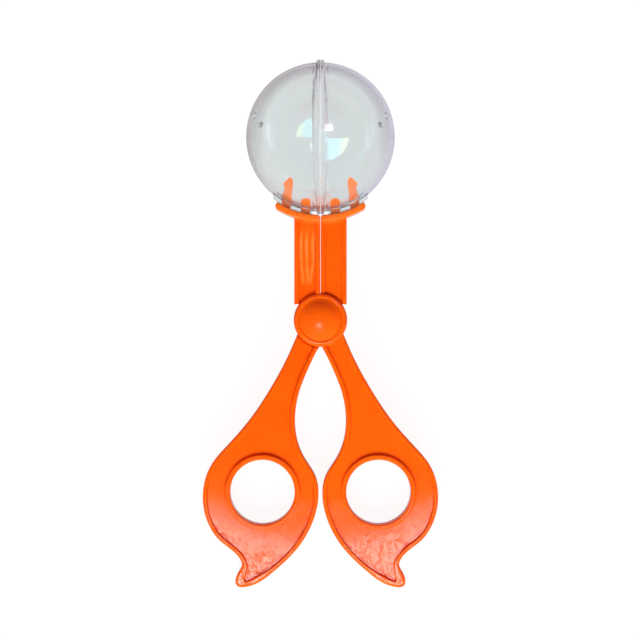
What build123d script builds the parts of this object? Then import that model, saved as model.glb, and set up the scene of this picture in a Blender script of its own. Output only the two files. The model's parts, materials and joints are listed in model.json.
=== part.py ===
from build123d import *
import os
from math import asin, cos, degrees, radians, sin, sqrt

# Bug catcher tongs: two orange arms cross at a pivot, and each carries half of a clear ball.
# While it is modelled, the pivot is the origin, X is across, +Y runs towards the ball and +Z is
# the front, where the domed button is. At the end everything is laid down as the tongs rest on
# a table, on the ball's lip and the two tails. Lengths are in millimetres.

# Ball
ball_height = 59.0
ball_radius = 24.0
dome_wall = 1.3
parting_gap = 0.15
lip_width = 1.1
lip_rise = 0.8
lip_round = 0.3
band_width = 2.4
band_depth = 0.45
vent_radius = 0.95
vent_rise = 5.5
vent_side = 9.2

# Arms
arm_thickness = 5.2
arm_gap = 0.15
rim_width = 1.45
panel_depth = 1.2
panel_corner = 0.6
edge_round_share = 0.55
panel_round_share = 0.3
edge_shares = [0.0, 0.25, 0.5, 0.75]

# Jaw bars
bar_width = 8.375
shoulder_height = 5.1

# Handles, with the finger hole's centre placed from the handle's inner side and from the pivot
handle_gap = 0.6
grip_out = 18.4
grip_down = 55.4
finger_hole_radius = 10.4
ring_width = 1.7
hole_round = 0.6
outer_side_shares = [
    (0.337, -0.043), (0.560, -0.213), (0.864, -0.399), (1.245, -0.587), (1.609, -0.726),
    (1.902, -0.845), (2.042, -1.005), (1.967, -1.168), (1.746, -1.282), (1.470, -1.357),
    (1.361, -1.424), (1.445, -1.482), (1.465, -1.533), (1.337, -1.553),
]
inner_side_shares = [
    (1.337, -1.553), (0.830, -1.470), (0.340, -1.307), (0.066, -1.121), (0.017, -1.003),
    (0.065, -0.912), (0.272, -0.796), (0.424, -0.632), (0.408, -0.493), (0.228, -0.305),
    (0.025, -0.166), (-0.049, -0.123),
]
neck_direction = (0.40, -0.92)
tail_direction = (-1.0, 0.1)
crotch_direction = (-0.47, 0.88)
panel_outer_shares = [0.02, 0.12, 0.25, 0.36, 0.46, 0.54, 0.62, 0.70, 0.78, 0.83, 0.88]
panel_inner_shares = [0.15, 0.25, 0.33, 0.37, 0.41, 0.50, 0.58, 0.68, 0.78, 0.88, 0.98]

# Hub, where the two arms are halved into each other
hub_radius = 8.65
hub_rise = 0.5
hub_round = 1.25
lap_gap = 0.2
lap_clearance = 0.35
dish_radius = 6.9
dish_depth = 0.9
dish_round = 0.15

# Pivot, a button with a hollow shank and a cap whose pin snaps into it
shank_radius = 2.5
running_clearance = 0.05
head_clearance = 0.05
skirt_radius = 6.8
skirt_edge = 0.75
skirt_height = 1.35
crown_radius = 5.5
crown_edge = 0.2
crown_round = 0.12
crown_height = 1.65
pin_radius = 1.3
pin_length = 3.4
snap_clearance = 0.02

# Cradle that carries half of the ball
cradle_gap = 1.2
cradle_thickness = 2.1
cradle_width = 8.0
cradle_angle = 33.0
cradle_tip_angle = 33.3
cradle_heel_angle = 29.5
cradle_round = 0.6
corner_round = 0.3
notch_round = 1.0

# Prongs on the cradle: an outer snap hook and an inner locating tab
prong_width = 3.6
prong_root = 0.9
hook_offset = 9.7
hook_width = 2.85
hook_height = 10.7
hook_outline_shares = [
    (0.0, 0.0), (-0.34, 0.883), (-0.21, 0.971), (0.07, 1.0), (0.80, 0.806),
    (0.61, 0.699), (0.68, 0.563), (0.93, 0.456), (1.0, 0.0),
]
hook_neck_share = 0.699
hook_round = 0.2
tab_offset = 3.27
tab_width = 3.05
tab_height = 6.1
tab_round = 1.3

# Slots, foot and catch in each dome, which the prongs pass through
slot_clearance = 0.15
seat_gap = 0.35
foot_side = 1.3
foot_outer = 2.65
foot_inner = 0.7
catch_reach = 1.6
catch_drop = 0.25

# Cuts run past what they cut by this much
overrun = 1.0

edge_round = rim_width * edge_round_share
panel_round = rim_width * panel_round_share
close = panel_round / 10
half_gap = arm_gap / 2
grip_start = handle_gap / 2
half_arm = arm_thickness / 2
half_lap = lap_gap / 2
hub_face = half_arm + hub_rise
dish_floor = hub_face - dish_depth
lip_radius = ball_radius + lip_rise
cradle_inner = ball_radius + cradle_gap
cradle_outer = cradle_inner + cradle_thickness
cradle_middle = cradle_inner + cradle_thickness / 2
tail_reach = -grip_down * outer_side_shares[-1][1]
hole_centre = Pos(grip_start + grip_out, -grip_down)
ball_centre = Pos(0, ball_height)


def polar(radius, angle):
    """Point at an angle in degrees, counted from straight down towards the left."""
    return (-radius * sin(radians(angle)), -radius * cos(radians(angle)))


def handle_points(shares):
    return [(grip_start + x * grip_out, y * grip_down) for x, y in shares]


def inset_points(edge, shares):
    """Points one rim's width inside an outline that runs with the handle on its right."""
    points = []
    for share in shares:
        place, way = edge @ share, edge % share
        points.append((place.X + way.Y * rim_width, place.Y - way.X * rim_width))
    return points


def on_both_faces(shape):
    return shape + mirror(shape, about=Plane.XY)


def face_edges(part, kind, height):
    """Edges of one kind that lie on the front and back faces at this height."""
    found = []
    for edge in part.edges().filter_by(kind):
        heights = [abs((edge @ share).Z) for share in edge_shares]
        if max(heights) - min(heights) < close and abs(heights[0] - height) < close:
            found.append(edge)
    return found


def rings(part, radius, height):
    """Round edges of this radius on the front and back faces at this height."""
    return [edge for edge in face_edges(part, GeomType.CIRCLE, height) if abs(edge.radius - radius) < close]


def longest(edges, count):
    return sorted(edges, key=lambda edge: -edge.length)[:count]


def handle():
    """The right-hand grip: a rimmed panel round a finger hole, ending in a curled tail."""
    outer = Spline(
        handle_points(outer_side_shares), tangents=[neck_direction, tail_direction]
    )
    inner = Spline(
        handle_points(inner_side_shares), tangents=[tail_direction, crotch_direction]
    )
    outline = make_face([outer, inner, Line(inner @ 1, outer @ 0)])
    blank = extrude(outline, half_arm, both=True)
    blank = fillet(longest(face_edges(blank, GeomType.BSPLINE, half_arm), 4), edge_round)

    tail = inset_points(inner, [0])
    panel_outer = Spline(inset_points(outer, panel_outer_shares) + tail)
    panel_inner = Spline(tail + inset_points(inner, panel_inner_shares))
    panel = make_face([panel_outer, panel_inner, Line(panel_inner @ 1, panel_outer @ 0)])
    panel = fillet(panel.vertices(), panel_corner)
    panel -= hole_centre * Circle(finger_hole_radius + ring_width)
    recesses = on_both_faces(Pos(0, 0, half_arm - panel_depth) * extrude(panel, panel_depth + overrun))
    grip = blank - recesses
    grip = fillet(new_edges(blank, recesses, combined=grip), panel_round)
    grip -= hole_centre * Cylinder(finger_hole_radius, arm_thickness + overrun)
    return fillet(rings(grip, finger_hole_radius, half_arm), hole_round)


def bar():
    """The left-hand jaw bar: a rimmed panel from the square shoulder up to the cradle."""
    middle = -(half_gap + bar_width / 2)
    top = ball_height - sqrt(cradle_middle**2 - (half_gap + bar_width) ** 2)
    length = top - shoulder_height
    blank = Pos(middle, shoulder_height + length / 2) * Box(bar_width, length, arm_thickness)
    blank = fillet(blank.edges().filter_by(Axis.Y), edge_round)
    blank -= ball_centre * Cylinder(cradle_middle, arm_thickness + overrun)
    panel_width = bar_width - 2 * rim_width
    panel = Pos(middle, top / 2) * Rectangle(panel_width, top)
    panel -= ball_centre * Circle(cradle_outer)
    recess = Pos(0, 0, half_arm - panel_depth) * extrude(panel, panel_depth + overrun)
    blank -= on_both_faces(recess)
    rims = [
        edge
        for edge in blank.edges().filter_by(Axis.Y)
        if abs(abs(edge.center().Z) - half_arm) < close
        and abs(abs(edge.center().X - middle) - panel_width / 2) < close
    ]
    return fillet(rims, panel_round)


def cradle():
    """A curved plate round the ball, from the parting plane out to a rounded horn."""
    inner_start = (-half_gap, -sqrt(cradle_inner**2 - half_gap**2))
    outer_start = (-half_gap, -sqrt(cradle_outer**2 - half_gap**2))
    inner_end = polar(cradle_inner, cradle_angle)
    tip_end = polar(cradle_middle, cradle_tip_angle)
    outer_end = polar(cradle_outer, cradle_heel_angle)
    plate = make_face([
        ThreePointArc(inner_start, polar(cradle_inner, cradle_angle / 2), inner_end),
        ThreePointArc(inner_end, tip_end, outer_end),
        ThreePointArc(outer_end, polar(cradle_outer, cradle_heel_angle / 2), outer_start),
        Line(outer_start, inner_start),
    ])
    corners = plate.vertices().sort_by(Axis.X)
    plate = fillet(corners[:2] + corners[2:].sort_by(Axis.Y)[:1], corner_round)
    notch = plate.vertices().sort_by(Axis.X)[-2:].sort_by(Axis.Y)[-1]
    plate = fillet(notch, notch_round)
    solid = extrude(ball_centre * plate, cradle_width / 2, both=True)
    faces = solid.faces().filter_by(Axis.Z)
    return fillet(faces.edges(), cradle_round)


def hook_outline():
    foot = cradle_foot(hook_offset + hook_width / 2)
    points = [
        (-(hook_offset + x * hook_width), foot + y * hook_height) for x, y in hook_outline_shares
    ]
    outline = make_face(Polyline(*points, close=True))
    return fillet(outline.vertices().sort_by(Axis.Y)[2:], hook_round)


def tab_outline():
    foot = cradle_foot(tab_offset + tab_width / 2)
    outline = Pos(-(tab_offset + tab_width / 2), foot + tab_height / 2) * Rectangle(tab_width, tab_height)
    return fillet(outline.vertices().sort_by(Axis.Y)[-2:], tab_round)


def cradle_foot(out):
    """Height inside the cradle, at this distance from the middle, where a prong is rooted."""
    return ball_height - sqrt((cradle_inner + prong_root) ** 2 - out**2)


def prongs():
    profiles = hook_outline() + tab_outline()
    return extrude(profiles, prong_width / 2, both=True)


def hub_disc():
    """The arm's half of the hub, a disc with a rounded edge."""
    disc = Pos(0, 0, half_lap) * extrude(Circle(hub_radius), hub_face - half_lap)
    return fillet(disc.edges().sort_by(Axis.Z)[-1], hub_round)


def front_arm():
    lap = Pos(0, 0, half_lap) * extrude(Circle(hub_radius + lap_clearance), -(arm_thickness + overrun))
    body = bar() + handle()
    body -= lap
    body += hub_disc()
    body += cradle()
    body += prongs()
    body -= Pos(0, 0, dish_floor) * extrude(Circle(dish_radius), dish_depth + overrun)
    body = fillet(rings(body, dish_radius, hub_face), dish_round)
    return body - Cylinder(shank_radius + running_clearance, 2 * arm_thickness)


def other_side(shape):
    """The same moulding turned over about the long axis."""
    return Rot(0, 180, 0) * shape


def dome_shell():
    """Half of the ball, with its outer lip and inner band at the parting plane."""
    rim = -parting_gap / 2
    lip_back = rim - lip_width
    band_back = rim - band_width
    inner_radius = ball_radius - dome_wall
    band_radius = inner_radius - band_depth
    lip_foot = (lip_back, sqrt(ball_radius**2 - lip_back**2))
    band_foot = (band_back, sqrt(inner_radius**2 - band_back**2))
    slant = cos(radians(45))
    profile = make_face([
        ThreePointArc((-ball_radius, 0), (-ball_radius * slant, ball_radius * slant), lip_foot),
        Polyline(lip_foot, (lip_back, lip_radius), (rim, lip_radius), (rim, band_radius),
                 (band_back, band_radius), band_foot),
        ThreePointArc(band_foot, (-inner_radius * slant, inner_radius * slant), (-inner_radius, 0)),
        Line((-inner_radius, 0), (-ball_radius, 0)),
    ])
    shell = revolve(profile, Axis.X)
    lip = [
        edge
        for edge in shell.edges().filter_by(GeomType.CIRCLE)
        if abs(edge.radius - lip_radius) < close
    ]
    return ball_centre * fillet(lip, lip_round)


def foot_block(near, far):
    """The thick foot that fills the space between the ball and its cradle."""
    width = prong_width + 2 * (slot_clearance + foot_side)
    depth = Pos(-(near + far) / 2, -ball_radius) * Rectangle(far - near, ball_radius)
    return extrude(ball_centre * (depth & Circle(cradle_inner - seat_gap)), width / 2, both=True)


def left_dome():
    hollow = ball_centre * Sphere(ball_radius - dome_wall)
    hook_far = hook_offset + hook_width
    thick_foot = foot_block(tab_offset - foot_inner, hook_far + foot_outer)

    foot = cradle_foot(hook_offset + hook_width / 2)
    catch_top = foot + hook_neck_share * hook_height - catch_drop
    catch_near = hook_offset + hook_width / 2
    catch_far = hook_far + catch_reach
    catch_bottom = ball_height - ball_radius
    catch = Pos(-(catch_near + catch_far) / 2, (catch_top + catch_bottom) / 2) * Box(
        catch_far - catch_near, catch_top - catch_bottom, prong_width + 2 * slot_clearance + foot_side
    )
    catch &= hollow

    slots = offset(hook_outline(), slot_clearance) + offset(tab_outline(), slot_clearance)
    slots = extrude(slots, prong_width / 2 + slot_clearance, both=True)

    vent = Rot(0, 90, 0) * Cylinder(vent_radius, ball_radius)
    vents = Pos(-ball_radius, ball_height + vent_rise, vent_side) * vent
    vents += Pos(-ball_radius, ball_height + vent_rise, -vent_side) * vent
    return dome_shell() + (thick_foot - hollow) + catch - slots - vents


def pivot_head():
    """The low dome and sloping skirt that show in the dish, standing on the dish's floor."""
    foot = skirt_height + crown_edge
    ball = (crown_radius**2 + crown_height**2) / (2 * crown_height)
    lean = asin(crown_radius / ball) / 2
    shoulder = (ball * sin(lean), foot + crown_height - ball * (1 - cos(lean)))
    profile = make_face([
        Polyline((0, foot + crown_height), (0, 0), (skirt_radius, 0), (skirt_radius, skirt_edge),
                 (crown_radius, skirt_height), (crown_radius, foot)),
        ThreePointArc((crown_radius, foot), shoulder, (0, foot + crown_height)),
    ])
    profile = fillet(profile.vertices().sort_by_distance((crown_radius, foot))[0], crown_round)
    return Pos(0, 0, dish_floor + head_clearance) * revolve(Plane.XZ * profile, Axis.Z)


def pivot_button():
    depth = 2 * dish_floor
    shank = Pos(0, 0, -dish_floor) * extrude(Circle(shank_radius), depth + 2 * head_clearance)
    bore = Pos(0, 0, -dish_floor) * extrude(Circle(pin_radius + snap_clearance), pin_length + head_clearance)
    return pivot_head() + shank - bore


def pivot_cap():
    start = dish_floor + head_clearance
    pin = Pos(0, 0, start - pin_length) * extrude(Circle(pin_radius), pin_length + skirt_height)
    return other_side(pivot_head() + pin)


def resting_place(shapes):
    """How the tongs lie on a table: tipped onto the ball's lip and the two tails."""
    tip = degrees(asin((lip_radius - half_arm) / (ball_height + tail_reach)))
    lean = Rot(tip, 0, 0)
    box = Compound([lean * shape for shape in shapes]).bounding_box()
    middle = box.center()
    return Pos(-middle.X, -middle.Y, -box.min.Z) * lean


arm = front_arm()
dome = left_dome()
nodes = {
    "arm_front": arm,
    "arm_rear": other_side(arm),
    "dome_left": dome,
    "dome_right": other_side(dome),
    "pivot_button": pivot_button(),
    "pivot_cap": pivot_cap(),
}
place = resting_place(list(nodes.values()))
os.makedirs("parts", exist_ok=True)
for name, shape in nodes.items():
    export_step(place * shape, f"parts/{name}.step")

landmarks = {
    "pivot": Pos(0, 0, 0),
    "ball centre": ball_centre,
    "right finger hole": hole_centre,
    "left finger hole": Pos(-(grip_start + grip_out), -grip_down),
    "a step towards the front": Pos(0, 0, overrun),
}
for name, spot in landmarks.items():
    print(name, [round(value, 3) for value in (place * spot).position])
print("resting angle", [round(value, 3) for value in place.orientation])
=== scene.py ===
"""Looks, light and camera for the bug catcher tongs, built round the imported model.

Two orange arms cross at a pivot, and each carries half of a clear ball. Everything is in metres
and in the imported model's own frame, except where a field says millimetres. Lights and camera are
placed on the tongs' own plane, which leans on the table because the ball's lip is lower than the arms.
"""

import json
import logging
import math
from dataclasses import dataclass
from enum import Enum

import bmesh
import bpy
from mathutils import Matrix, Vector


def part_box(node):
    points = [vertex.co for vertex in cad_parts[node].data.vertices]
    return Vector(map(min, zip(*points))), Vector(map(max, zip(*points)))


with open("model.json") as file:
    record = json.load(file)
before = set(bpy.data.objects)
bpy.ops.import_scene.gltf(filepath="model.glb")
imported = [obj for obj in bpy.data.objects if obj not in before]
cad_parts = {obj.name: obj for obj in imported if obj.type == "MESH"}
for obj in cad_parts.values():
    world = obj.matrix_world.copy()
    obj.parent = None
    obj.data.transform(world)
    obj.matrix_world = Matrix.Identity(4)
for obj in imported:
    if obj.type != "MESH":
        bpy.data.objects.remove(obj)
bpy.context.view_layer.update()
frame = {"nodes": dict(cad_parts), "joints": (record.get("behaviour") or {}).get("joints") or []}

MM = 0.001
ARMS = ("arm_front", "arm_rear")
DOMES = ("dome_left", "dome_right")
PIVOT = ("pivot_button", "pivot_cap")
log = logging.getLogger("bug_catcher_tongs")

Colour = tuple[float, float, float]
Place = tuple[float, float, float]
Span = tuple[float, float]
Socket = bpy.types.NodeSocket
Fed = float | tuple[float, ...] | Socket

# What light brings out of the clear plastic's edges after bouncing inside them.
EDGE_TINT: Colour = (0.92, 0.84, 0.92)


class Finish(Enum):
    """The tongs' finishes, by the names of their materials."""

    ARM = "arm_plastic"
    PIVOT = "pivot_plastic"
    DOME = "dome_plastic"


def in_metres(span: Span) -> Span:
    """Returns a span of millimetres in metres."""
    return span[0] * MM, span[1] * MM


@dataclass(frozen=True)
class ToolPlane:
    """The plane that the two arms turn in, with the pivot as its origin."""

    pivot: Vector
    across: Vector
    along: Vector
    front: Vector

    @classmethod
    def from_joint(cls, joint: dict) -> "ToolPlane":
        """Reads the plane from the pivot joint.

        Args:
            joint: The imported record's row for the jaw pivot.

        Returns:
            The plane, with front towards the domed button and along towards the ball.
        """
        across = Vector((1.0, 0.0, 0.0))
        front = -Vector(joint["axis"]).normalized()
        return cls(Vector(joint["pos_m"]), across, front.cross(across), front)

    def turn(self) -> Matrix:
        """Returns the rotation that lays a shape drawn in X, Y and Z on this plane."""
        return Matrix((self.across, self.along, self.front)).transposed()

    def point(self, across: float, along: float, front: float) -> Vector:
        """Finds a point given in the plane's own directions.

        Args:
            across: Distance to the right of the pivot, in metres.
            along: Distance towards the ball, in metres.
            front: Distance out of the plane, in metres.

        Returns:
            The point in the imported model's frame.
        """
        return self.pivot + self.turn() @ Vector((across, along, front))

    def lay(self, across: float, along: float, front: float) -> Matrix:
        """Finds the move that lays a shape drawn round the origin on the plane.

        Args:
            across: Distance to the right of the pivot, in metres.
            along: Distance towards the ball, in metres.
            front: Distance out of the plane, in metres.

        Returns:
            The turn and the move together.
        """
        return Matrix.Translation(self.point(across, along, front)) @ self.turn().to_4x4()


class Tree:
    """A shader node tree that is filled one node at a time."""

    def __init__(self, tree: bpy.types.NodeTree) -> None:
        """Empties the tree.

        Args:
            tree: The material's, world's or group's own node tree.
        """
        self.tree = tree
        tree.nodes.clear()

    @classmethod
    def of(cls, owner: bpy.types.Material | bpy.types.World) -> "Tree":
        """Returns the empty tree of a new material or world."""
        owner.use_nodes = True
        return cls(owner.node_tree)

    def add(self, kind: str, inputs: dict[str | int, Fed] | None = None,
            **settings: object) -> bpy.types.Node:
        """Adds a node.

        Args:
            kind: The node's type without its Shader prefix, such as TexNoise.
            inputs: A number, a colour or another node's output for each named input.
            settings: The node's own settings, such as operation.

        Returns:
            The new node.
        """
        node = self.tree.nodes.new(f"ShaderNode{kind}")
        for name, value in settings.items():
            setattr(node, name, value)
        for name, value in (inputs or {}).items():
            if isinstance(value, Socket):
                self.tree.links.new(value, node.inputs[name])
            else:
                node.inputs[name].default_value = value
        return node

    def math(self, operation: str, first: Fed, second: Fed = 0.0) -> Socket:
        """Adds a Math node and returns its output.

        Args:
            operation: The node's operation, such as MULTIPLY.
            first: The first number or socket.
            second: The second number or socket.

        Returns:
            The result's socket.
        """
        return self.add("Math", {0: first, 1: second}, operation=operation).outputs[0]

    def vector(self, operation: str, first: Fed, second: Fed) -> Socket:
        """Adds a Vector Math node that gives a number, and returns its output.

        Args:
            operation: The node's operation, DISTANCE or DOT_PRODUCT.
            first: The first vector or socket.
            second: The second vector or socket.

        Returns:
            The number's socket.
        """
        return self.add("VectorMath", {0: first, 1: second}, operation=operation).outputs["Value"]

    def between(self, value: Fed, low: float, high: float,
                to_low: float = 0.0, to_high: float = 1.0) -> Socket:
        """Eases a value from one range to another, smoothly and without passing its ends.

        Args:
            value: The number or socket to read.
            low: Where the value gives to_low.
            high: Where the value gives to_high.
            to_low: The result at low.
            to_high: The result at high.

        Returns:
            The result's socket.
        """
        inputs = {"Value": value, "From Min": low, "From Max": high, "To Min": to_low, "To Max": to_high}
        return self.add("MapRange", inputs, interpolation_type="SMOOTHSTEP").outputs[0]

    def blend(self, factor: Fed, first: Fed, second: Fed) -> Socket:
        """Mixes two colours.

        Args:
            factor: 0 for the first colour and 1 for the second.
            first: The first colour or socket.
            second: The second colour or socket.

        Returns:
            The mixed colour's socket.
        """
        node = self.add("Mix", {"Factor": factor}, data_type="RGBA")
        for socket, value in zip(node.inputs[6:8], (first, second)):
            if isinstance(value, Socket):
                self.tree.links.new(value, socket)
            else:
                socket.default_value = (*value, 1.0)
        return node.outputs[2]

    def noise(self, place: Socket, scale: Fed, detail: float, **inputs: float) -> Socket:
        """Adds a noise texture.

        Args:
            place: The coordinates that it reads.
            scale: How many of its waves lie in a metre.
            detail: How many finer waves are added.
            inputs: Its other numbers, such as Distortion.

        Returns:
            The noise, which stays near 0.5.
        """
        return self.add("TexNoise", {"Vector": place, "Scale": scale, "Detail": detail, **inputs}).outputs[0]

    def glow(self, colour: Fed, strength: float = 1.0) -> Socket:
        """Returns the shader of light given off in a colour."""
        shown = colour if isinstance(colour, Socket) else (*colour, 1.0)
        return self.add("Emission", {"Color": shown, "Strength": strength}).outputs[0]

    def either(self, factor: Fed, first: Socket, second: Socket) -> Socket:
        """Mixes two shaders.

        Args:
            factor: 0 for the first shader and 1 for the second.
            first: The first shader.
            second: The second shader.

        Returns:
            The mixed shader's socket.
        """
        return self.add("MixShader", {0: factor, 1: first, 2: second}).outputs[0]

    def per_metre(self, millimetres: Socket) -> Socket:
        """Returns the texture scale that gives waves of a size in millimetres."""
        return self.math("DIVIDE", 1 / MM, millimetres)


class Rays:
    """Tells rays apart by the way they came, for what shows through and in the clear plastic."""

    def __init__(self, tree: Tree) -> None:
        """Adds the Light Path node.

        Args:
            tree: The tree that asks.
        """
        path = tree.add("LightPath").outputs
        refracted = tree.math("GREATER_THAN", path["Transmission Depth"], 0.5)
        reflected = tree.math("GREATER_THAN", path["Glossy Depth"], 0.5)
        self.shadow = path["Is Shadow Ray"]
        self.matt = path["Is Diffuse Ray"]
        self.inner = tree.math("MULTIPLY", refracted, reflected)
        self.deep = tree.math("MULTIPLY", refracted, tree.math("GREATER_THAN", path["Glossy Depth"], 1.5))
        outer = tree.math("SUBTRACT", 1.0, self.inner)
        self.through = tree.math("MULTIPLY", path["Is Transmission Ray"], outer)
        self.straight = tree.math("MAXIMUM", path["Is Camera Ray"], self.through)
        unlit = tree.math("SUBTRACT", 1.0, self.matt)
        self.mirrored = tree.math("MULTIPLY", unlit, tree.math("MAXIMUM", path["Is Glossy Ray"], self.inner))


@dataclass(frozen=True)
class Group:
    """A node group that is being filled."""

    tree: Tree
    given: bpy.types.Node
    result: bpy.types.Node
    place: Socket

    @classmethod
    def start(cls, name: str, inputs: dict[str, float], outputs: tuple[str, ...]) -> "Group":
        """Starts a node group whose sockets are plain numbers.

        Args:
            name: The group's name.
            inputs: Its inputs with their default values.
            outputs: The names of its outputs.

        Returns:
            The group, with the surface's own coordinates at hand.
        """
        group = bpy.data.node_groups.new(name, "ShaderNodeTree")
        tree = Tree(group)
        for label, value in inputs.items():
            socket = group.interface.new_socket(label, in_out="INPUT", socket_type="NodeSocketFloat")
            socket.default_value = value
        for label in outputs:
            group.interface.new_socket(label, in_out="OUTPUT", socket_type="NodeSocketFloat")
        given = group.nodes.new("NodeGroupInput")
        result = group.nodes.new("NodeGroupOutput")
        return cls(tree, given, result, tree.add("TexCoord").outputs["Object"])

    def put_out(self, label: str, value: Socket) -> None:
        """Feeds one of the group's outputs."""
        self.tree.tree.links.new(value, self.result.inputs[label])


class Effects:
    """The surface effects that several materials share, each built once as a node group."""

    tone_scale: float = 60.0
    tone_distortion: float = 0.6
    tone_range: Span = (0.3, 0.7)
    dusty_scale: float = 90.0
    dusty_range: Span = (0.32, 0.5)
    scratch_leans: Span = (0.5, -0.9)
    scratch_tilt: float = 0.4
    scratch_stretch: float = 0.06
    scratch_width: float = 0.006
    scratched_scale: float = 150.0
    scratched_range: Span = (0.5, 0.62)

    def __init__(self) -> None:
        """Builds the groups."""
        self.flow = self._flow()
        self.dust = self._dust()
        self.scuffs = self._scuffs()

    def _flow(self) -> bpy.types.NodeTree:
        """The waves that plastic keeps from flowing through its mould.

        Returns:
            A group with a Height in millimetres and a slow Tone.
        """
        group = Group.start(
            "Mould flow",
            {"Wave Size": 3.0, "Wave Height": 0.01, "Grain Size": 0.3, "Grain Height": 0.001},
            ("Height", "Tone"),
        )
        tree, given = group.tree, group.given.outputs
        waves = tree.noise(group.place, tree.per_metre(given["Wave Size"]), 1.0)
        grain = tree.noise(group.place, tree.per_metre(given["Grain Size"]), 2.0)
        height = tree.math("ADD",
                           tree.math("MULTIPLY", waves, given["Wave Height"]),
                           tree.math("MULTIPLY", grain, given["Grain Height"]))
        tone = tree.noise(group.place, self.tone_scale, 3.0, Distortion=self.tone_distortion)
        group.put_out("Height", height)
        group.put_out("Tone", tree.between(tone, *self.tone_range))
        return tree.tree

    def _dust(self) -> bpy.types.NodeTree:
        """Specks of dust and lint that lie here and there.

        Returns:
            A group with a Mask that is 1 on a speck.
        """
        group = Group.start("Dust", {"Speck Size": 0.25, "Spacing": 1.2, "Amount": 0.5}, ("Mask",))
        tree, given = group.tree, group.given.outputs
        cells = tree.add("TexVoronoi", {
            "Vector": group.place,
            "Scale": tree.per_metre(given["Spacing"]),
            "Randomness": 1.0,
        })
        chosen = tree.add("SeparateColor", {"Color": cells.outputs["Color"]})
        reach = tree.math("DIVIDE", given["Speck Size"], given["Spacing"])
        size = tree.math("MULTIPLY", reach, chosen.outputs[1])
        near = tree.math("LESS_THAN", cells.outputs["Distance"], size)
        kept = tree.math("LESS_THAN", chosen.outputs[0], given["Amount"])
        dusty = tree.between(tree.noise(group.place, self.dusty_scale, 2.0), *self.dusty_range)
        group.put_out("Mask", tree.math("MULTIPLY", tree.math("MULTIPLY", near, kept), dusty))
        return tree.tree

    def _scuffs(self) -> bpy.types.NodeTree:
        """Fine hairline scratches in two directions.

        Returns:
            A group with a Mask that is 1 on a scratch.
        """
        group = Group.start("Scuffs", {"Spacing": 0.5, "Amount": 0.2}, ("Mask",))
        tree, given = group.tree, group.given.outputs
        found = None
        for lean in self.scratch_leans:
            turned = tree.add("Mapping", {
                "Vector": group.place,
                "Rotation": (lean, self.scratch_tilt, lean),
                "Scale": (1.0, self.scratch_stretch, 1.0),
            })
            lines = tree.noise(turned.outputs[0], tree.per_metre(given["Spacing"]), 0.0)
            off = tree.math("ABSOLUTE", tree.math("SUBTRACT", lines, 0.5))
            line = tree.between(off, 0.0, self.scratch_width, 1.0, 0.0)
            found = line if found is None else tree.math("MAXIMUM", found, line)
        scratched = tree.between(tree.noise(group.place, self.scratched_scale, 2.0), *self.scratched_range)
        amount = tree.math("MULTIPLY", scratched, given["Amount"])
        group.put_out("Mask", tree.math("MULTIPLY", found, amount))
        return tree.tree


@dataclass(frozen=True)
class Waves:
    """One finish's mould flow: the size and height of its waves and grain, in millimetres."""

    wave_size: float
    wave_height: float
    grain_size: float
    grain_height: float

    def node(self, tree: Tree, effects: Effects) -> bpy.types.Node:
        """Adds the mould flow with these values.

        Args:
            tree: The material's tree.
            effects: The shared node groups.

        Returns:
            The group's node.
        """
        return tree.add("Group", {
            "Wave Size": self.wave_size,
            "Wave Height": self.wave_height,
            "Grain Size": self.grain_size,
            "Grain Height": self.grain_height,
        }, node_tree=effects.flow)

    @staticmethod
    def normal(tree: Tree, flow: bpy.types.Node) -> Socket:
        """Returns the surface's normal, bent by the mould flow's height."""
        bump = tree.add("Bump", {"Height": flow.outputs["Height"], "Distance": MM, "Strength": 1.0})
        return bump.outputs[0]


@dataclass(frozen=True)
class PaintedBarHighlights:
    """Painted highlight streaks down the front of one jaw bar, in millimetres from the pivot.

    Each streak is a pale line that stands in for gloss; it starts at a place across the bar and leans by so
    much where it bends.
    """

    width: float = 0.85
    starts_and_leans: tuple[Span, ...] = ((-6.25, 0.65), (-4.4, 0.4), (-2.4, -0.9))
    bend: Span = (19.0, 11.5)
    top: Span = (31.0, 26.0)
    bottom: Span = (10.5, 13.5)
    sway: float = 0.8
    sway_scale: float = 190.0
    fade_range: Span = (0.35, 0.65)
    faintest: float = 0.55

    def mask(self, tree: Tree, across: Socket, along: Socket, front: Socket) -> Socket:
        """Finds the painted highlight streaks.

        Args:
            tree: The material's tree.
            across: The distance to the right of the pivot.
            along: The distance towards the ball.
            front: The distance out of the tongs' plane.

        Returns:
            A mask that is 1 on a painted highlight streak.
        """
        bend = tree.between(along, *in_metres(self.bend))
        waver = tree.add("TexNoise", {"W": along, "Scale": self.sway_scale, "Detail": 1.0},
                         noise_dimensions="1D").outputs[0]
        sway = tree.math("MULTIPLY", tree.math("SUBTRACT", waver, 0.5), self.sway * MM)
        found = None
        for start, lean in self.starts_and_leans:
            middle = tree.math("ADD", tree.math("MULTIPLY", bend, lean * MM), start * MM)
            off = tree.math("ABSOLUTE", tree.math("SUBTRACT", tree.math("ADD", across, sway), middle))
            highlight_streak = tree.between(off, 0.0, self.width * MM, 1.0, 0.0)
            found = highlight_streak if found is None else tree.math("MAXIMUM", found, highlight_streak)
        ends = tree.math("MULTIPLY",
                         tree.between(along, *in_metres(self.top)),
                         tree.between(along, *in_metres(self.bottom)))
        fade = tree.between(waver, *self.fade_range, self.faintest, 1.0)
        # Painted on the front face only, the side that the lens sees.
        in_front = tree.math("GREATER_THAN", front, 0.0)
        shown = tree.math("MULTIPLY", tree.math("MULTIPLY", ends, fade), in_front)
        return tree.math("MULTIPLY", found, shown)


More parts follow.
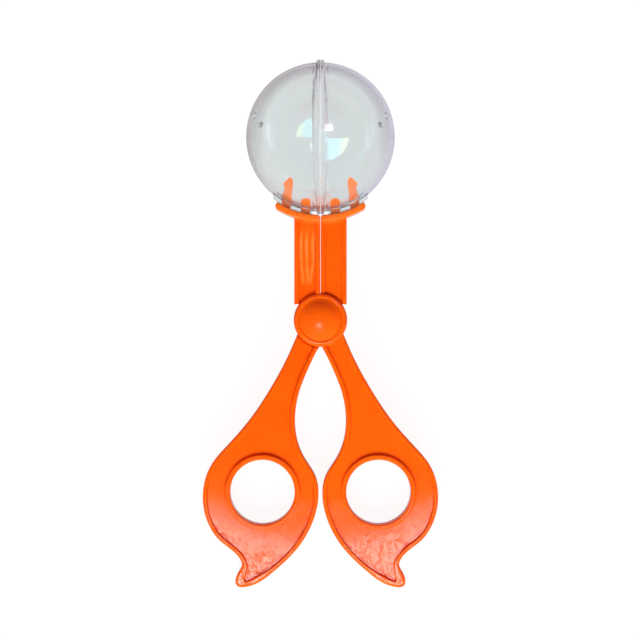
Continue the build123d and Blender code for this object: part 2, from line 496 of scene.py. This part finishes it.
@dataclass(frozen=True)
class OrangePlastic:
    """Glossy moulded plastic with painted light: paler near the ball and streaked on one jaw bar by painted
    highlights; worn and dusty on the tails.

    Sizes are in millimetres. Handled is where the wear starts and where it is full, measured
    from the pivot towards the ball, and thin is how far round the ball's centre the prongs go; they are
    painted paler, as if more light fell on them.
    """

    finish: Finish
    plane: ToolPlane
    ball_centre: Place
    bar_highlights: PaintedBarHighlights = PaintedBarHighlights()
    waves: Waves = Waves(wave_size=2.6, wave_height=0.004, grain_size=0.25, grain_height=0.0006)
    colour: Colour = (0.99, 0.143, 0.0030)
    deep_colour: Colour = (0.98, 0.127, 0.0026)
    painted_light_colour: Colour = (0.99, 0.21, 0.022)
    painted_highlight_colour: Colour = (0.99, 0.31, 0.055)
    worn_colour: Colour = (0.86, 0.10, 0.004)
    dust_colour: Colour = (0.45, 0.11, 0.02)
    roughness: float = 0.08
    worn_roughness: float = 0.7
    shine: float = 0.3
    ior: float = 1.46
    glow: float = 0.35
    glow_reach: Colour = (1.6, 0.25, 0.08)
    thin: Span = (27.5, 28.7)
    thin_paleness: float = 0.75
    handled: Span = (-55.0, -66.0)
    worn_size: float = 1.0
    worn_range: Span = (0.47, 0.58)
    wear: float = 0.7
    scuff_wear: float = 0.25
    speck_size: float = 0.32
    speck_spacing: float = 1.3
    speck_amount: float = 0.8
    speck_strength: float = 0.9

    def material(self, effects: Effects) -> bpy.types.Material:
        """Builds the material.

        Args:
            effects: The shared node groups.

        Returns:
            The finished material.
        """
        material = bpy.data.materials.new(self.finish.value)
        tree = Tree.of(material)
        place = tree.add("TexCoord").outputs["Object"]
        across, along, front = self._directions(tree, place)
        flow = self.waves.node(tree, effects)
        dirt, worn = self._wear(tree, effects, place, along)
        reach = tree.vector("DISTANCE", place, self.ball_centre)
        # Painted light: the prongs and cradle round the ball are painted paler, as if more light fell on
        # them.
        thin = tree.between(reach, *in_metres(self.thin), self.thin_paleness, 0.0)
        colour = tree.blend(flow.outputs["Tone"], self.deep_colour, self.colour)
        # Painted highlight: pale streaks that stand in for gloss on one jaw bar.
        colour = tree.blend(self.bar_highlights.mask(tree, across, along, front), colour, self.painted_highlight_colour)
        colour = tree.blend(thin, colour, self.painted_light_colour)
        colour = tree.blend(worn, colour, self.worn_colour)
        colour = tree.blend(tree.math("MULTIPLY", dirt, self.speck_strength), colour, self.dust_colour)
        scuffs = tree.add("Group", node_tree=effects.scuffs)
        scuffed = tree.math("MULTIPLY", scuffs.outputs["Mask"], self.scuff_wear)
        matt = tree.math("MAXIMUM", dirt, tree.math("MAXIMUM", scuffed, worn))
        shader = tree.add("BsdfPrincipled", {
            "Base Color": colour,
            "Roughness": tree.between(matt, 0.0, 1.0, self.roughness, self.worn_roughness),
            "Normal": self.waves.normal(tree, flow),
            "IOR": self.ior,
            "Specular IOR Level": self.shine,
            "Subsurface Weight": self.glow,
            "Subsurface Radius": self.glow_reach,
            "Subsurface Scale": MM,
        })
        tree.add("OutputMaterial", {"Surface": shader.outputs[0]})
        return material

    def _wear(self, tree: Tree, effects: Effects, place: Socket, along: Socket) -> tuple[Socket, Socket]:
        """Finds what hands and pockets leave on the tails.

        Args:
            tree: The material's tree.
            effects: The shared node groups.
            place: The surface's own coordinates.
            along: The distance towards the ball.

        Returns:
            A mask of the specks of dust and a mask of the matt patches.
        """
        handled = tree.between(along, *in_metres(self.handled))
        dust = tree.add("Group", {
            "Amount": self.speck_amount,
            "Speck Size": self.speck_size,
            "Spacing": self.speck_spacing,
        }, node_tree=effects.dust)
        dirt = tree.math("MULTIPLY", dust.outputs["Mask"], handled)
        patches = tree.noise(place, 1 / (self.worn_size * MM), 4.0, Roughness=0.8)
        worn = tree.math("MULTIPLY", handled, tree.between(patches, *self.worn_range, 0.0, self.wear))
        return dirt, worn

    def _directions(self, tree: Tree, place: Socket) -> tuple[Socket, ...]:
        """Turns the surface's own coordinates into the tongs' own directions.

        Args:
            tree: The material's tree.
            place: The surface's own coordinates.

        Returns:
            The distances across, along and in front of the pivot.
        """
        arm = tree.add("VectorMath", {0: place, 1: tuple(self.plane.pivot)}, operation="SUBTRACT").outputs[0]
        ways = (self.plane.across, self.plane.along, self.plane.front)
        return tuple(tree.vector("DOT_PRODUCT", arm, tuple(way)) for way in ways)


@dataclass(frozen=True)
class ClearPlastic:
    """Clear moulded plastic that lets most light through."""

    finish: Finish
    waves: Waves = Waves(wave_size=9.0, wave_height=0.02, grain_size=1.0, grain_height=0.0008)
    colour: Colour = (0.98, 0.99, 0.985)
    shadow_colour: Colour = (0.98, 0.985, 0.985)
    roughness: float = 0.06
    scuff_roughness: float = 0.3
    ior: float = 1.57

    def material(self, effects: Effects) -> bpy.types.Material:
        """Builds the material.

        Args:
            effects: The shared node groups.

        Returns:
            The finished material, whose shadows stay pale.
        """
        material = bpy.data.materials.new(self.finish.value)
        tree = Tree.of(material)
        flow = self.waves.node(tree, effects)
        scuffs = tree.add("Group", node_tree=effects.scuffs)
        plastic = tree.add("BsdfPrincipled", {
            "Base Color": (*self.colour, 1.0),
            "Roughness": tree.between(scuffs.outputs["Mask"], 0.0, 1.0, self.roughness, self.scuff_roughness),
            "Normal": self.waves.normal(tree, flow),
            "IOR": self.ior,
            "Transmission Weight": 1.0,
        })
        clear = tree.add("BsdfTransparent", {"Color": (*self.shadow_colour, 1.0)})
        shown = tree.either(Rays(tree).shadow, plastic.outputs[0], clear.outputs[0])
        tree.add("OutputMaterial", {"Surface": shown})
        return material


@dataclass(frozen=True)
class Tongs:
    """The tongs' own CAD pieces, whose shapes are right, and their finishes."""

    plane: ToolPlane
    effects: Effects
    pivot_roughness: float = 0.25
    pivot_shine: float = 0.2

    def dress(self) -> None:
        """Puts each finish on its pieces."""
        low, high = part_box(DOMES[0])
        centre = (0.0, (low[1] + high[1]) / 2, (low[2] + high[2]) / 2)
        arms = OrangePlastic(Finish.ARM, self.plane, centre)
        pivot = OrangePlastic(Finish.PIVOT, self.plane, centre,
                              roughness=self.pivot_roughness, shine=self.pivot_shine)
        for names, finish in ((ARMS, arms), (PIVOT, pivot), (DOMES, ClearPlastic(Finish.DOME))):
            material = finish.material(self.effects)
            for name in names:
                worn_by = frame["nodes"][name].data.materials
                worn_by.clear()
                worn_by.append(material)
                log.info("%s wears %s", name, material.name)


def light_only(lamp: bpy.types.Object, names: tuple[str, ...]) -> None:
    """Keeps a lamp's light to some of the CAD nodes.

    Args:
        lamp: The lamp or glowing card.
        names: The nodes that it lights, or none for all of them.
    """
    if not names:
        return
    lit = bpy.data.collections.new(f"{lamp.name}_lights")
    for name in names:
        lit.objects.link(frame["nodes"][name])
    lamp.light_linking.receiver_collection = lit


@dataclass(frozen=True)
class SoftBox:
    """A rectangular lamp, placed on the tongs' own plane and turned to face it."""

    name: str
    place: Place
    aim: Place
    size: Span
    brightness: float
    colour: Colour = (1.0, 1.0, 1.0)
    lights_only: tuple[str, ...] = ()
    lights_matt: bool = True
    shows_in_gloss: bool = True
    shows_in_far_wall: bool = False

    def build(self, plane: ToolPlane) -> None:
        """Adds the lamp.

        Args:
            plane: The tongs' own plane.
        """
        lamp = bpy.data.lights.new(self.name, "AREA")
        lamp.shape = "RECTANGLE"
        lamp.size, lamp.size_y = self.size
        lamp.color = self.colour
        lamp.energy = self.brightness * math.pi * self.size[0] * self.size[1]
        holder = bpy.data.objects.new(self.name, lamp)
        place = plane.point(*self.place)
        towards = plane.point(*self.aim) - place
        turn = towards.to_track_quat("-Z", "Y").to_matrix().to_4x4()
        holder.matrix_world = Matrix.Translation(place) @ turn
        holder.visible_camera = False
        holder.visible_transmission = self.shows_in_far_wall
        holder.visible_diffuse = self.lights_matt
        holder.visible_glossy = self.shows_in_gloss
        bpy.context.scene.collection.objects.link(holder)
        light_only(holder, self.lights_only)


LAMPS: tuple[SoftBox, ...] = (
    SoftBox("tail_box", place=(0.0, -0.152, 0.50), aim=(0.0, -0.152, 0.0), size=(0.185, 0.1),
            brightness=18.0, colour=(1.0, 0.96, 1.0), lights_only=ARMS + ("pivot_cap",), lights_matt=False),
    SoftBox("key_box", place=(0.0, -0.62, 0.62), aim=(0.0, 0.0, 0.0), size=(0.9, 0.6),
            brightness=7.0, shows_in_gloss=False),
    SoftBox("window", place=(0.102, 0.124, 0.47), aim=(0.0, 0.03, 0.0), size=(0.085, 0.10),
            brightness=7.0, colour=(0.93, 0.88, 1.0), lights_only=DOMES + ARMS, lights_matt=False,
            shows_in_far_wall=True),
    SoftBox("button_box", place=(-0.04, -0.165, 0.48), aim=(0.0, 0.0, 0.0), size=(0.13, 0.12),
            brightness=28.0, colour=(1.0, 0.96, 1.0), lights_only=("pivot_button",), lights_matt=False),
)


def set_up(name: str, work: bmesh.types.BMesh) -> tuple[bpy.types.Object, Tree]:
    """Makes a thing that isn't part of the tongs, with an empty material.

    Args:
        name: The name of the object and its material.
        work: Its mesh, which is used up.

    Returns:
        The object and its material's tree.
    """
    mesh = bpy.data.meshes.new(name)
    work.to_mesh(mesh)
    work.free()
    item = bpy.data.objects.new(name, mesh)
    bpy.context.scene.collection.objects.link(item)
    material = bpy.data.materials.new(name)
    mesh.materials.append(material)
    return item, Tree.of(material)


@dataclass(frozen=True)
class FloorSide:
    """What gloss shows of the floor on one side: painted shade near the ball, darkest in a band round it, and
    paler floor beyond.

    The band looks different in gloss that lies inside the clear plastic.
    """

    near: Colour
    band: Colour
    band_inside: Colour
    far: Colour

    def colour(self, tree: Tree, rays: Rays, close: Socket, lit: Socket) -> Socket:
        """Chooses the colour.

        Args:
            tree: The floor's tree.
            rays: What the ray has met.
            close: 1 near the ball.
            lit: 1 beyond the band.

        Returns:
            The colour's socket.
        """
        band = tree.blend(rays.inner, self.band, self.band_inside)
        return tree.blend(lit, tree.blend(close, band, self.near), self.far)


@dataclass(frozen=True)
class Floor:
    """The pale floor that the tongs rest on: white to the lens, and to gloss a soft picture with painted
    shade round the ball.
    """

    radius: float = 4.0
    segments: int = 64
    glow: float = 0.93
    matt: float = 0.12
    plain: float = 0.8
    through: Colour = (0.63, 0.68, 0.678)
    middle: Place = (-0.004, 0.067, 0.0)
    near_reach: Span = (0.078, 0.048)
    far_reach: Span = (0.190, 0.300)
    front_edge: Span = (0.062, 0.025)
    sides_meet: Span = (-0.03, 0.03)
    # Painted shade: near the ball and in the band, the floor shows darker to gloss.
    left: FloorSide = FloorSide(near=(0.42, 0.40, 0.40), band=(0.0, 0.0, 0.0),
                                band_inside=(0.22, 0.10, 0.18), far=(0.64, 0.66, 0.62))
    right: FloorSide = FloorSide(near=(0.55, 0.54, 0.64), band=(0.05, 0.05, 0.10),
                                 band_inside=(0.28, 0.20, 0.34), far=(0.60, 0.60, 0.68))

    def build(self) -> None:
        """Lays the floor."""
        work = bmesh.new()
        bmesh.ops.create_circle(work, cap_ends=True, radius=self.radius, segments=self.segments)
        _, tree = set_up("floor", work)
        rays = Rays(tree)
        glow = tree.blend(rays.through, (self.glow,) * 3, self.through)
        shown = tree.add("AddShader", {
            0: tree.glow(glow),
            1: tree.add("BsdfDiffuse", {"Color": (self.matt,) * 3 + (1.0,)}).outputs[0],
        }).outputs[0]
        plain = tree.add("BsdfDiffuse", {"Color": (self.plain,) * 3 + (1.0,)}).outputs[0]
        mirrored = tree.blend(rays.deep, self._nearby(tree, rays), EDGE_TINT)
        unseen = tree.either(rays.mirrored, plain, tree.glow(mirrored))
        tree.add("OutputMaterial", {"Surface": tree.either(rays.straight, unseen, shown)})

    def _nearby(self, tree: Tree, rays: Rays) -> Socket:
        """Finds the colour that gloss shows at a place on the floor.

        Args:
            tree: The floor's tree.
            rays: What the ray has met.

        Returns:
            The colour's socket.
        """
        place = tree.add("TexCoord").outputs["Object"]
        spot = tree.add("SeparateXYZ", {0: place}).outputs
        reach = tree.vector("DISTANCE", place, self.middle)
        close = tree.between(reach, *self.near_reach)
        lit = tree.math("MAXIMUM",
                        tree.between(reach, *self.far_reach),
                        tree.between(spot[1], *self.front_edge))
        return tree.blend(tree.between(spot[0], *self.sides_meet),
                          self.left.colour(tree, rays, close, lit),
                          self.right.colour(tree, rays, close, lit))


@dataclass(frozen=True)
class LensShade:
    """The dark disc round the lens, which keeps gloss near the middle from showing a lamp."""

    plane: ToolPlane
    radius: float = 0.1445
    segments: int = 96
    height: float = 0.49
    darkness: float = 0.02

    def build(self) -> None:
        """Hangs the disc, which gloss inside the clear plastic sees through."""
        work = bmesh.new()
        bmesh.ops.create_circle(work, cap_ends=True, radius=self.radius, segments=self.segments)
        work.transform(self.plane.lay(0.0, 0.0, self.height))
        shade, tree = set_up("lens_shade", work)
        shade.visible_camera = False
        shade.visible_diffuse = False
        shade.visible_transmission = False
        clear = tree.add("BsdfTransparent").outputs[0]
        shown = tree.either(Rays(tree).inner, tree.glow((self.darkness,) * 3), clear)
        tree.add("OutputMaterial", {"Surface": shown})


@dataclass(frozen=True)
class SkyCard:
    """The quarter-round reflector whose image shines on the clear ball."""

    plane: ToolPlane
    radius: float = 0.34
    segments: int = 64
    place: Place = (0.085, -0.005, 0.45)
    inner_colour: Colour = (0.25, 0.85, 1.0)
    rim_colour: Colour = (0.7, 1.0, 0.5)
    rim: Span = (0.22, 0.36)
    strength: float = 4.5

    def build(self) -> None:
        """Hangs the card."""
        work = bmesh.new()
        bmesh.ops.create_circle(work, cap_ends=True, radius=self.radius, segments=self.segments)
        for cut_off in ((-1.0, 0.0, 0.0), (0.0, 1.0, 0.0)):
            bmesh.ops.bisect_plane(work, geom=work.verts[:] + work.edges[:] + work.faces[:],
                                   plane_co=(0.0, 0.0, 0.0), plane_no=cut_off, clear_outer=True)
        work.transform(self.plane.lay(*self.place))
        card, tree = set_up("sky_card", work)
        card.visible_camera = False
        card.visible_diffuse = False
        card.visible_shadow = False
        light_only(card, DOMES)
        across = tree.add("SeparateXYZ", {0: tree.add("TexCoord").outputs["Object"]}).outputs[0]
        colour = tree.blend(tree.between(across, *self.rim), self.inner_colour, self.rim_colour)
        tree.add("OutputMaterial", {"Surface": tree.glow(colour, self.strength)})


@dataclass(frozen=True)
class Room:
    """The room round the tongs: white to the lens, with walls, windows and a dark ceiling in gloss.

    Heights and edges are the sines of the angles at which they are seen.
    """

    plane: ToolPlane
    white: Colour = (1.0, 1.0, 1.0)
    fill: Colour = (0.30, 0.10, 0.08)
    left_wall: Colour = (0.50, 0.55, 0.53)
    right_wall: Colour = (0.48, 0.54, 0.59)
    walls_meet: Span = (-0.6, 0.6)
    left_window: Colour = (1.75, 1.9, 2.0)
    left_window_edge: Span = (-0.955, -0.985)
    right_window: Colour = (0.7, 1.25, 1.5)
    right_window_edge: Span = (0.945, 0.98)
    window_middle: float = 0.02
    window_height: Span = (0.04, 0.12)
    ceiling: Colour = (0.03, 0.03, 0.03)
    ceiling_inside: Colour = (0.60, 0.54, 0.64)
    ceiling_edge: Span = (0.1, 0.75)

    def build(self) -> None:
        """Makes the world."""
        world = bpy.data.worlds.new("studio")
        bpy.context.scene.world = world
        tree = Tree.of(world)
        rays = Rays(tree)
        way = tree.add("TexCoord").outputs["Generated"]
        lift = tree.vector("DOT_PRODUCT", way, tuple(self.plane.front))
        walls = self._walls(tree, way, lift)
        overhead = tree.between(lift, *self.ceiling_edge)
        outside = tree.blend(overhead, walls, self.ceiling)
        inside = tree.blend(rays.deep, tree.blend(overhead, walls, self.ceiling_inside), EDGE_TINT)
        lit = tree.blend(rays.matt, tree.blend(rays.inner, outside, inside), self.fill)
        colour = tree.blend(rays.straight, lit, self.white)
        background = tree.add("Background", {"Color": colour, "Strength": 1.0})
        tree.add("OutputWorld", {"Surface": background.outputs[0]})

    def _walls(self, tree: Tree, way: Socket, lift: Socket) -> Socket:
        """Paints the walls and their two windows.

        Args:
            tree: The world's tree.
            way: The direction that is looked in.
            lift: How far it rises from the tongs' plane.

        Returns:
            The colour's socket.
        """
        across = tree.add("SeparateXYZ", {0: way}).outputs[0]
        walls = tree.blend(tree.between(across, *self.walls_meet), self.left_wall, self.right_wall)
        off = tree.math("ABSOLUTE", tree.math("SUBTRACT", lift, self.window_middle))
        level = tree.between(off, *self.window_height, 1.0, 0.0)
        for edge, colour in ((self.left_window_edge, self.left_window),
                             (self.right_window_edge, self.right_window)):
            walls = tree.blend(tree.math("MULTIPLY", level, tree.between(across, *edge)), walls, colour)
        return walls


@dataclass(frozen=True)
class View:
    """The camera, which looks square onto the tongs' plane as the photograph does."""

    plane: ToolPlane
    side: float = -0.000145
    rise: float = 0.00003
    distance: float = 0.480
    lens: float = 83.54
    sensor: float = 36.0
    nearest: float = 0.01
    bounces: int = 16
    clear_bounces: int = 24

    def build(self) -> None:
        """Adds the camera, and lets light bounce often enough inside the clear plastic's thin edges."""
        camera = bpy.data.cameras.new("camera")
        camera.sensor_width = self.sensor
        camera.lens = self.lens
        camera.clip_start = self.nearest
        holder = bpy.data.objects.new("camera", camera)
        holder.matrix_world = self.plane.lay(self.side, self.rise, self.distance)
        scene = bpy.context.scene
        scene.collection.objects.link(holder)
        scene.camera = holder
        scene.view_settings.view_transform = "Standard"
        scene.cycles.max_bounces = self.clear_bounces
        scene.cycles.transmission_bounces = self.clear_bounces
        scene.cycles.diffuse_bounces = self.bounces
        scene.cycles.glossy_bounces = self.bounces


def main() -> None:
    """Dresses the tongs and sets up the studio, in order."""
    logging.basicConfig(level=logging.INFO, format="%(name)s: %(message)s")
    plane = ToolPlane.from_joint(frame["joints"][0])
    Tongs(plane, Effects()).dress()
    Floor().build()
    LensShade(plane).build()
    Room(plane).build()
    View(plane).build()
    for lamp in LAMPS:
        lamp.build(plane)
    SkyCard(plane).build()
    log.info("studio is lit")


if __name__ == "__main__":
    main()
